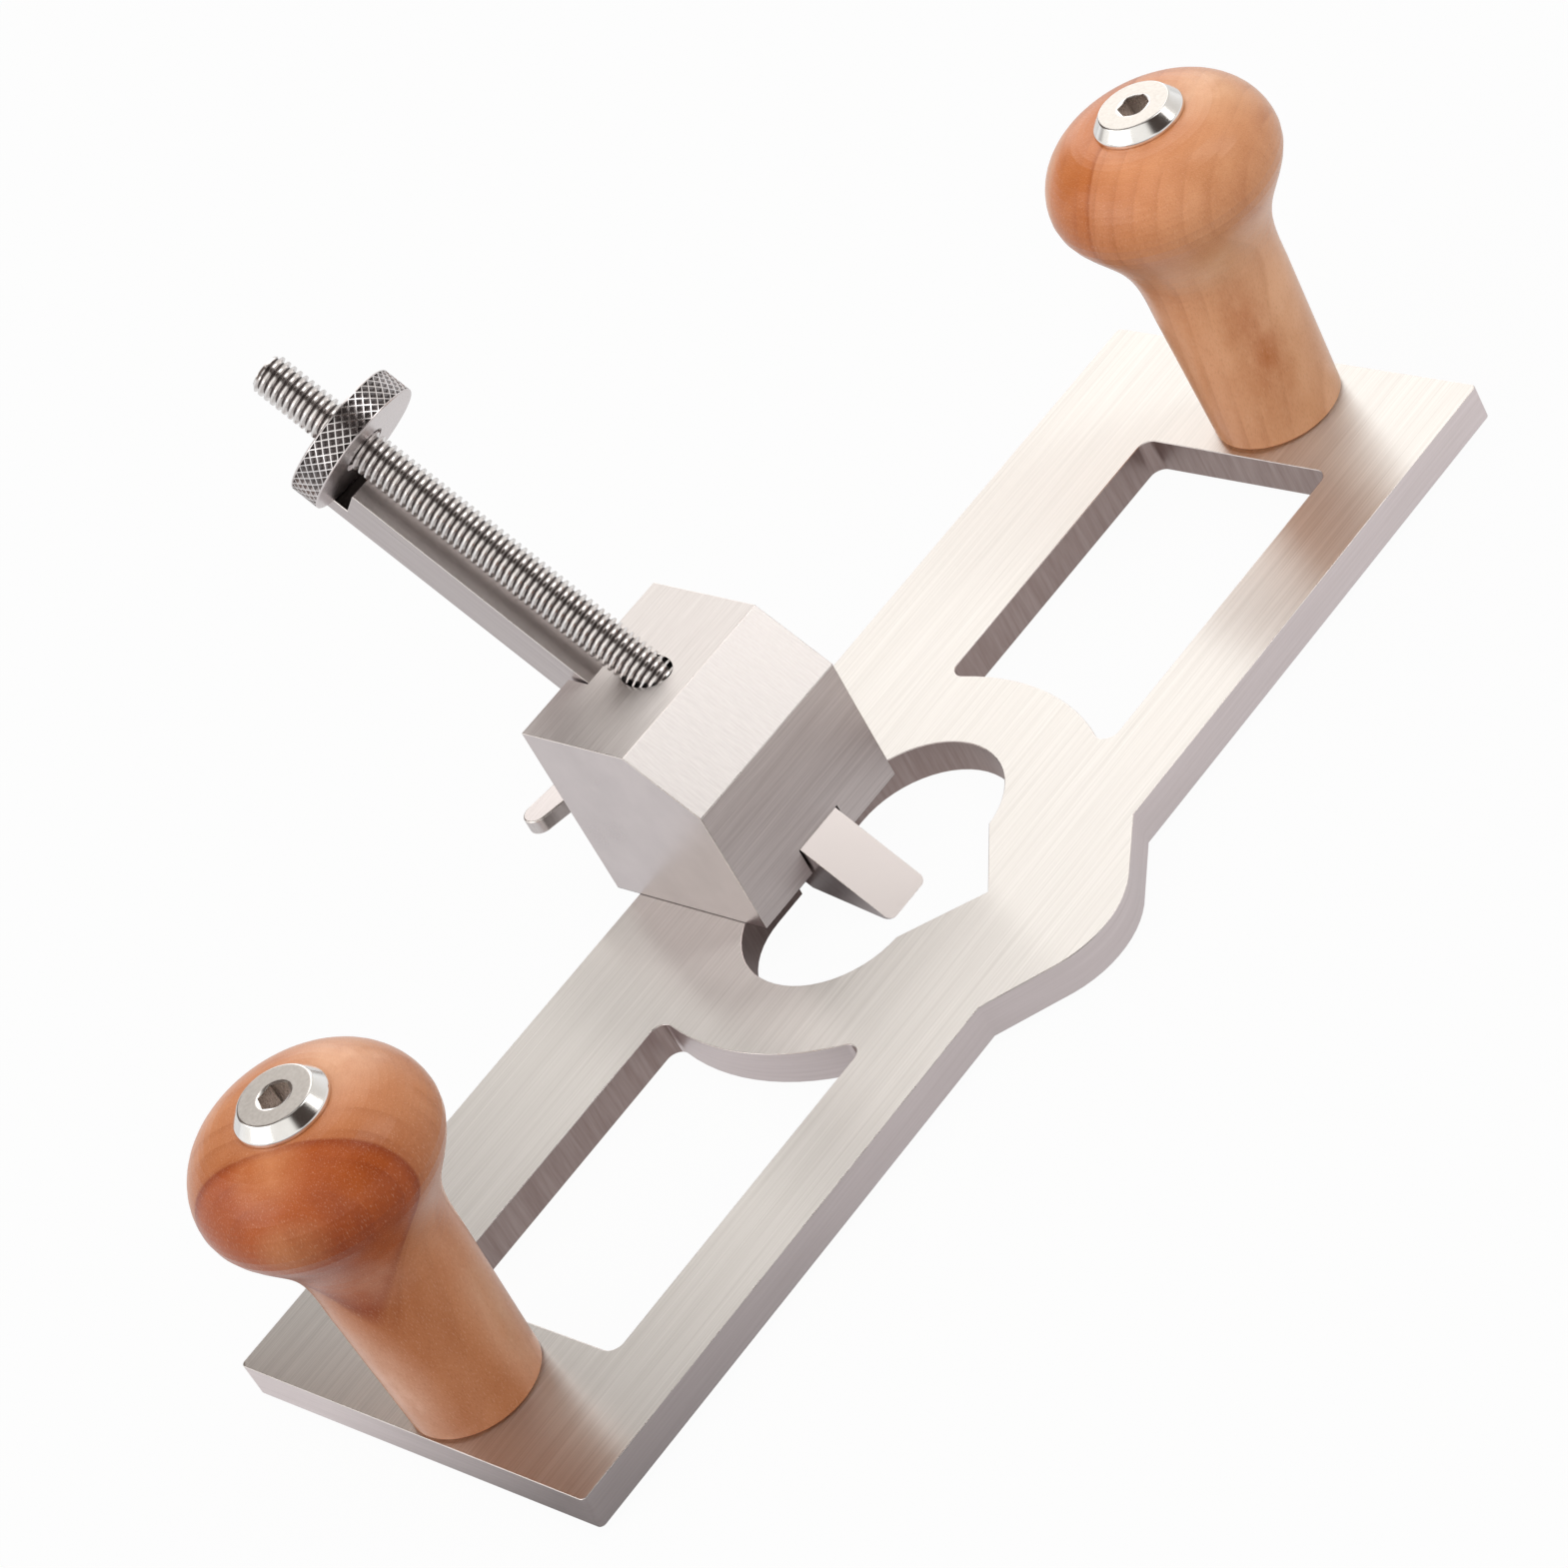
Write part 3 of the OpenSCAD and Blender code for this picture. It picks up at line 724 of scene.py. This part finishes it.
def away_from_tip(edge):
    """An edge of the bar, and not of its ground cutting edge."""
    a, b = (v.co for v in edge.verts)
    lengthwise = abs((b - a).normalized().dot(ALONG)) > 0.99
    above_block = ((a + b) / 2 - STUD_FOOT).dot(ALONG) > 0
    return edge.calc_length() > SHORT_EDGE and (lengthwise or above_block)


edged_plate()
softened(
    "blade_holder", "plane_body",
    [BLOCK_BRUSHED, BLOCK_SIDE, BLOCK_FRONT, BLOCK_CHAMFER, SEAM_PAINTED_SHADE, STEEL_CORNER],
    block_material, long_edge, seam=under_block,
)
softened(
    "blade", "cutter",
    [BLADE_FACE, BLADE_GROUND, BLADE_NOTCH_PAINTED_SHADE, STEEL_CORNER],
    blade_material, away_from_tip, width=BLADE_BREAK,
)
softened(
    "wing_screw", "clamp",
    [FASTENER, STEEL_CORNER],
    lambda normal, centre: 0, width=WING_BREAK,
)


# Stud with its helical thread

def threaded_stud():
    """A right-hand thread of six profile points a turn: root, half a flank, crest and half a flank, with
    the root face painted dark as shade.
    """
    low, high = reach_along("depth_stud")
    crest = radius_about_stud("depth_stud")
    root = crest - THREAD_DEPTH
    half = (root + crest) / 2
    profile = ((0.0, root), (0.16, root), (0.28, half), (0.40, crest), (0.68, crest), (0.84, half))
    # The root face gets the painted shade.
    in_shade = 0
    turns = math.ceil((high - low) / THREAD_PITCH) + 1
    steps = turns * THREAD_STEPS
    bm = bmesh.new()
    rows = []
    for i in range(steps + 1):
        angle = 2 * math.pi * i / THREAD_STEPS
        start = low + THREAD_PITCH * (i / THREAD_STEPS - 1)
        row = []
        for share, radius in profile:
            along = start + THREAD_PITCH * share
            end_limit = root - STUD_END_INSET + max(0.0, high - along)
            radius = min(radius, end_limit) if along > high - STUD_CHAMFER else radius
            row.append(bm.verts.new(on_stud(radius, angle, along)))
        rows.append(row)
    for i in range(steps):
        a, b = rows[i], rows[i + 1]
        for k in range(len(profile) - 1):
            face = bm.faces.new((a[k], b[k], b[k + 1], a[k + 1]))
            face.material_index = 1 if k == in_shade else 0
        if i + 1 + THREAD_STEPS <= steps:
            c, d = rows[i + THREAD_STEPS], rows[i + 1 + THREAD_STEPS]
            bm.faces.new((a[-1], b[-1], d[0], c[0]))
    for at, side in ((high, 1), (low, -1)):
        cut = bmesh.ops.bisect_plane(
            bm, geom=[*bm.verts, *bm.edges, *bm.faces], dist=1e-7,
            plane_co=STUD_FOOT + ALONG * at, plane_no=ALONG * side, clear_outer=True,
        )
        rim = [e for e in cut["geom_cut"] if isinstance(e, bmesh.types.BMEdge)]
        bmesh.ops.holes_fill(bm, edges=rim, sides=0)
    bmesh.ops.recalc_face_normals(bm, faces=bm.faces)
    shade(bm, THREAD_CRISP_ABOVE)
    finish_mesh(
        "depth_stud_thread", bm, "plane_body", ["depth_stud"],
        [THREAD_BRIGHT, THREAD_ROOT_PAINTED_SHADE],
    )


threaded_stud()


# Nut with its diamond knurl

def knurled_nut():
    """Crossing ridges round pits, between two plain rims, with a face and bore on each side; the pits and
    the bore are painted dark as shade.
    """
    low, high = reach_along("depth_nut")
    outer = radius_about_stud("depth_nut")
    bore = radius_about_stud("depth_stud") + NUT_BORE_GAP
    step = 2 * math.pi / KNURL_AROUND
    first, last = low + 2 * NUT_RIM, high - 2 * NUT_RIM
    row_height = (last - first) / KNURL_ROWS
    bm = bmesh.new()

    def angle(row, k):
        return step * (k + 0.5 * (row % 2))

    def ring(row, radius, along):
        return [bm.verts.new(on_stud(radius, angle(row, k), along)) for k in range(KNURL_AROUND)]

    nodes = [ring(row, outer, first + row * row_height) for row in range(KNURL_ROWS + 1)]

    def between(row, k):
        """Number of the node, in the next row up or down, between k and k + 1 of this row."""
        return (k + row % 2) % KNURL_AROUND

    def pit(corners):
        """A pit with a ridge about it, its walls and floor painted dark as shade: corners are (vertex,
        angle, along).
        """
        middle_angle = sum(a for _, a, _ in corners) / len(corners)
        middle_along = sum(z for _, _, z in corners) / len(corners)
        loops = [[vert for vert, _, _ in corners]]
        for share, depth in ((KNURL_RIDGE, 0.0), (KNURL_PIT, KNURL_DEPTH)):
            loops.append([
                bm.verts.new(on_stud(
                    outer - depth,
                    middle_angle + share * (a - middle_angle),
                    middle_along + share * (z - middle_along),
                ))
                for _, a, z in corners
            ])
        for material, (a, b) in enumerate(zip(loops, loops[1:])):
            for i in range(len(corners)):
                bm.faces.new((a[i - 1], a[i], b[i], b[i - 1])).material_index = material
        bm.faces.new(loops[2]).material_index = 2

    def corner(row, k, turn, rise):
        """A node's vertex, with its angle and place counted from the middle of ridge k of that row."""
        near_row = row + rise
        number = between(row, k) if rise else (k + (turn > 0)) % KNURL_AROUND
        turned = angle(row, k) + step / 2 * (1 + turn)
        return nodes[near_row][number], turned, first + near_row * row_height

    for row in range(1, KNURL_ROWS):
        for k in range(KNURL_AROUND):
            pit([corner(row, k, 0, -1), corner(row, k, 1, 0), corner(row, k, 0, 1), corner(row, k, -1, 0)])
    for row, rise in ((0, 1), (KNURL_ROWS, -1)):
        for k in range(KNURL_AROUND):
            pit([corner(row, k, -1, 0), corner(row, k, 1, 0), corner(row, k, 0, rise)])

    def band(a, b, material):
        for k in range(KNURL_AROUND):
            j = (k + 1) % KNURL_AROUND
            bm.faces.new((a[k], a[j], b[j], b[k])).material_index = material

    mouths = []
    for row, face_at, inward in ((0, low, 1), (KNURL_ROWS, high, -1)):
        rings = [
            nodes[row],
            ring(row, outer, face_at + inward * NUT_RIM),
            ring(row, outer - NUT_RIM, face_at),
            ring(row, bore + NUT_BORE_CHAMFER, face_at),
            ring(row, bore, face_at + inward * NUT_BORE_CHAMFER),
        ]
        for a, b in zip(rings, rings[1:]):
            band(a, b, 3)
        mouths.append(rings[-1])
    # The bore gets the painted shade of the pits.
    band(*mouths, 2)
    bmesh.ops.recalc_face_normals(bm, faces=bm.faces)
    shade(bm, THREAD_CRISP_ABOVE)
    finish_mesh(
        "depth_nut_knurled", bm, "nut", ["depth_nut"],
        [KNURL_RIDGE_STEEL, KNURL_WALL_PAINTED_SHADE, PIT_AND_BORE_PAINTED_SHADE, NUT_FACE],
    )


knurled_nut()


# Bolts and knobs

def hexagon(angle):
    """Radius of the socket's hexagon at an angle."""
    return BOLT_SOCKET_ACROSS / 2 / math.cos(angle % (math.pi / 3) - math.pi / 6)


def knob_bolt(side):
    """A turned bolt: shank, head with a polished cone and a satin flat, and a chamfered hexagon socket."""
    node = "knob_bolt_" + side
    low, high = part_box(node)
    axis_x, axis_y = (low.x + high.x) / 2, (low.y + high.y) / 2
    head = (high.x - low.x) / 2
    under = high.z - BOLT_HEAD_HEIGHT
    rim = under + BOLT_RIM_HEIGHT
    cone = Vector((BOLT_FLAT - head, high.z - rim)).normalized() * BOLT_EDGE
    polished, satin, socket = 0, 1, 2
    profile = [
        (low.z, BOLT_SHANK, polished),
        (under, BOLT_SHANK, polished),
        (under, head - BOLT_UNDER_EDGE, polished),
        (under + BOLT_UNDER_EDGE, head, polished),
        (rim - BOLT_EDGE, head, polished),
        (rim + cone.y, head + cone.x, polished),
        (rim + 2 * cone.y, head + 2 * cone.x, polished),
        (high.z - 2 * cone.y, BOLT_FLAT - 2 * cone.x, polished),
        (high.z - cone.y, BOLT_FLAT - cone.x, polished),
        (high.z, BOLT_FLAT - BOLT_EDGE, polished),
        (high.z, BOLT_FLAT - 2 * BOLT_EDGE, satin),
        (high.z, BOLT_SOCKET_RIM + BOLT_UNDER_EDGE, satin),
        (high.z, BOLT_SOCKET_RIM, satin),
        (None, None, polished),
        (high.z - BOLT_SOCKET_DEPTH, None, socket),
    ]
    bm = bmesh.new()
    rings = []
    for z, radius, _ in profile:
        ring = []
        for i in range(BOLT_STEPS):
            angle = 2 * math.pi * i / BOLT_STEPS
            reach = radius or hexagon(angle)
            chamfer = high.z - BOLT_SOCKET_SLOPE * (BOLT_SOCKET_RIM - reach)
            x, y = axis_x + reach * math.cos(angle), axis_y + reach * math.sin(angle)
            ring.append(bm.verts.new((x, y, chamfer if z is None else z)))
        rings.append(ring)
    for (a, b), (_, _, material) in zip(zip(rings, rings[1:]), profile[1:]):
        for i in range(BOLT_STEPS):
            bm.faces.new((a[i - 1], a[i], b[i], b[i - 1])).material_index = material
    bm.faces.new(rings[0]).material_index = polished
    bm.faces.new(rings[-1]).material_index = socket
    bmesh.ops.recalc_face_normals(bm, faces=bm.faces)
    shade(bm, BOLT_CRISP_ABOVE)
    finish_mesh(
        node + "_turned", bm, "plane_body", [node],
        [BOLT_POLISHED, BOLT_SATIN, BOLT_SOCKET],
    )


for side in ("left", "right"):
    knob_bolt(side)
    knob = frame["nodes"]["knob_" + side]
    for slot in knob.material_slots:
        slot.material = KNOB_WOODS["knob_" + side]
    for slot in frame["nodes"]["holder_screw_" + side].material_slots:
        slot.material = FASTENER


# Studio: floor, world, lamps and camera

def scaled(tree, value, share):
    """A value times a number."""
    node = tree.nodes.new("ShaderNodeMath")
    node.operation = "MULTIPLY"
    node.inputs[1].default_value = share
    tree.links.new(value, node.inputs[0])
    return node.outputs[0]


def white_where_seen(tree, plain, white, share, mirrored):
    """Mixes in white: that share where the camera sees it or glass passes it, and another in metal."""
    path = tree.nodes.new("ShaderNodeLightPath")
    seen = scaled(tree, path.outputs["Is Camera Ray"], share)
    for kind, amount in (("Is Transmission Ray", share), ("Is Glossy Ray", mirrored)):
        either = tree.nodes.new("ShaderNodeMath")
        either.operation = "MAXIMUM"
        tree.links.new(seen, either.inputs[0])
        tree.links.new(scaled(tree, path.outputs[kind], amount), either.inputs[1])
        seen = either.outputs[0]
    node = tree.nodes.new("ShaderNodeMixShader")
    tree.links.new(seen, node.inputs[0])
    tree.links.new(plain, node.inputs[1])
    tree.links.new(white, node.inputs[2])
    return node.outputs[0]


def make_floor():
    """A wide white floor just under the cutting edge; what metal sees of it carries painted shade, darker
    to the front left, and a painted shadow under the block.
    """
    bm = bmesh.new()
    bmesh.ops.create_grid(bm, x_segments=1, y_segments=1, size=FLOOR_SIZE / 2)
    mesh = bpy.data.meshes.new("floor")
    bm.to_mesh(mesh)
    bm.free()
    floor = bpy.data.objects.new("floor", mesh)
    floor.location.z = cad_box[0].z - FLOOR_GAP
    bpy.context.scene.collection.objects.link(floor)
    material = bpy.data.materials.new("floor_white")
    material.use_nodes = True
    tree = material.node_tree
    tree.nodes.clear()
    out = tree.nodes.new("ShaderNodeOutputMaterial")
    matt = tree.nodes.new("ShaderNodeBsdfDiffuse")
    matt.inputs["Color"].default_value = (FLOOR_TONE, FLOOR_TONE, FLOOR_TONE, 1)
    glow = tree.nodes.new("ShaderNodeEmission")
    glow.inputs["Strength"].default_value = 1.0
    spot = tree.nodes.new("ShaderNodeSeparateXYZ")
    tree.links.new(place(tree, (1, 1, 1)), spot.inputs[0])
    # Painted shade for glossy rays only: darker to the front left, and a painted shadow under the block;
    # the camera sees the floor white.
    across = spread(tree, spot.outputs["X"], 0.0, 1.0, FLOOR_PAINTED_FALLOFF_FROM, FLOOR_PAINTED_FALLOFF_TO)
    along = ramp(tree, across, [(0.0, (0.12, 0.12, 0.12)), (0.36, (0.70, 0.70, 0.70)), (1.0, WHITE)])
    ahead = spread(tree, spot.outputs["Y"], 1.0, 0.0, FLOOR_PAINTED_FALLOFF_AHEAD, 0.0)
    painted_falloff = mix(tree, WHITE, along, ahead)
    painted_shadow = near(tree, FLOOR_PAINTED_SHADOW_AT, FLOOR_PAINTED_SHADOW_REACH)
    shaded = mix(tree, painted_falloff, FLOOR_PAINTED_SHADOW_TONE, painted_shadow)
    path = tree.nodes.new("ShaderNodeLightPath")
    tree.links.new(mix(tree, WHITE, shaded, path.outputs["Is Glossy Ray"]), glow.inputs["Color"])
    seen = white_where_seen(
        tree, matt.outputs[0], glow.outputs[0], FLOOR_SEEN_WHITE, FLOOR_MIRRORED_WHITE
    )
    tree.links.new(seen, out.inputs["Surface"])
    mesh.materials.append(material)


def make_world():
    """Even fill for matt surfaces. Metal shows a pale wall on either hand with a dark gap between, a grey
    ceiling, and white low down."""
    world = bpy.data.worlds.new("studio")
    bpy.context.scene.world = world
    world.use_nodes = True
    tree = world.node_tree
    tree.nodes.clear()
    out = tree.nodes.new("ShaderNodeOutputWorld")
    fill = tree.nodes.new("ShaderNodeBackground")
    fill.inputs["Color"].default_value = (*FILL_TINT, 1)
    fill.inputs["Strength"].default_value = FILL_LEVEL
    where = tree.nodes.new("ShaderNodeTexCoord")
    split = tree.nodes.new("ShaderNodeSeparateXYZ")
    tree.links.new(where.outputs["Generated"], split.inputs[0])
    across = spread(tree, split.outputs["X"], 0.0, 1.0, -1.0, 1.0)
    behind = ramp(tree, across, [
        (0.32, STUDIO_LEFT), (0.39, STUDIO_DARK), (0.638, STUDIO_DARK), (0.685, STUDIO_RIGHT),
    ])
    before = ramp(tree, across, [
        (0.32, STUDIO_LEFT), (0.39, STUDIO_FRONT), (0.705, STUDIO_FRONT), (0.745, STUDIO_RIGHT),
    ])
    front = ramp(tree, split.outputs["Y"], [(0.10, WHITE), (0.40, BLACK)])
    walls = mix(tree, behind, before, front)
    overhead = ramp(tree, split.outputs["Z"], [(0.945, BLACK), (0.970, WHITE)])
    room = mix(tree, walls, STUDIO_ABOVE, overhead)
    low_behind = ramp(tree, split.outputs["Z"], [(0.05, WHITE), (0.20, BLACK)])
    low_before = ramp(tree, split.outputs["Z"], [(0.05, WHITE), (0.36, BLACK)])
    low = mix(tree, low_behind, low_before, front)
    mirrored = mix(tree, room, WHITE, low)
    path = tree.nodes.new("ShaderNodeLightPath")
    colour = mix(tree, mirrored, WHITE, path.outputs["Is Camera Ray"])
    seen = tree.nodes.new("ShaderNodeBackground")
    seen.inputs["Strength"].default_value = 1.0
    tree.links.new(colour, seen.inputs["Color"])
    both = white_where_seen(tree, fill.outputs[0], seen.outputs[0], 1.0, 1.0)
    tree.links.new(both, out.inputs["Surface"])


def softbox(name, direction, distance, size, level, tint, in_metal):
    """An oblong lamp in that direction from the object, facing it."""
    lamp = bpy.data.lights.new(name, "AREA")
    lamp.shape = "RECTANGLE"
    lamp.size, lamp.size_y = size
    lamp.energy = level * math.pi * size[0] * size[1]
    lamp.color = tint
    holder = bpy.data.objects.new(name, lamp)
    towards = Vector(direction).normalized()
    holder.location = LAMP_AIM + towards * distance
    holder.rotation_euler = towards.to_track_quat("Z", "Y").to_euler()
    holder.visible_glossy = in_metal
    bpy.context.scene.collection.objects.link(holder)


def make_camera():
    """The photograph's own viewpoint."""
    data = bpy.data.cameras.new("camera")
    data.lens = CAMERA_LENS
    data.sensor_width = CAMERA_SENSOR
    data.clip_start, data.clip_end = 0.01, 50
    camera = bpy.data.objects.new("camera", data)
    back = CAMERA_RIGHT.cross(CAMERA_UP)
    turn = Matrix((CAMERA_RIGHT, CAMERA_UP, back)).transposed().to_4x4()
    camera.matrix_world = Matrix.Translation(CAMERA_PLACE) @ turn
    bpy.context.scene.collection.objects.link(camera)
    bpy.context.scene.camera = camera


make_camera()
make_floor()
make_world()
for lamp in LAMPS:
    softbox(*lamp)
bpy.context.scene.view_settings.view_transform = "Standard"
